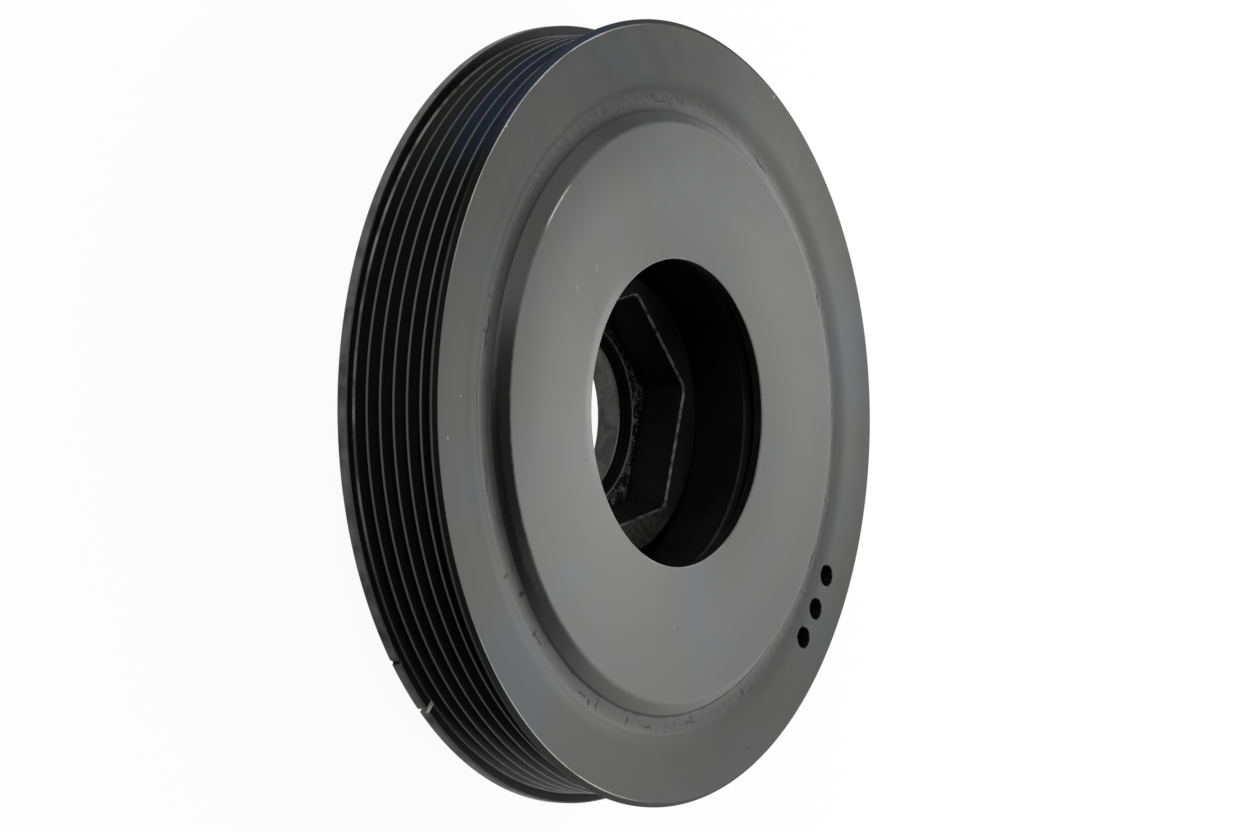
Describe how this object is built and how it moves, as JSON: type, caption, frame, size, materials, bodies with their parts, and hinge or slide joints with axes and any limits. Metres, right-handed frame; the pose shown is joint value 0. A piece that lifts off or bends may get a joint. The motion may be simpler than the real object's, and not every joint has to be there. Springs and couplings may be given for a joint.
{
  "type": "crankshaft pulley",
  "caption": "Round crankshaft pulley with a ribbed belt track between flanges, two rubber-bonded vibration dampers, a pressed front cover and a hex pocket in its hub.",
  "frame": {"origin": "on the pulley's axis, on the rear face of the hub's boss, which seats on the crankshaft", "axes": "+Z along the axis, away from the engine and out of the front face; +X and +Y across the axis, with the three balancing holes near -37 degrees from +X and the timing slot near -134 degrees"},
  "size_m": [0.1774, 0.1774, 0.0363],
  "materials": {
    "hub_iron": "dark cast iron with turned faces",
    "ring_iron": "dark turned iron",
    "damper_rubber": "matt black moulded rubber",
    "cover_paint": "satin dark grey coat on pressed steel",
    "pulley_iron": "satin dark grey coat on turned iron"
  },
  "bodies": {
    "root": {"hub": "hub_iron", "inner_ring": "ring_iron", "inner_rubber": "damper_rubber", "front_cover": "cover_paint", "outer_rubber": "damper_rubber", "belt_pulley": "pulley_iron"}
  },
  "joints": []
}
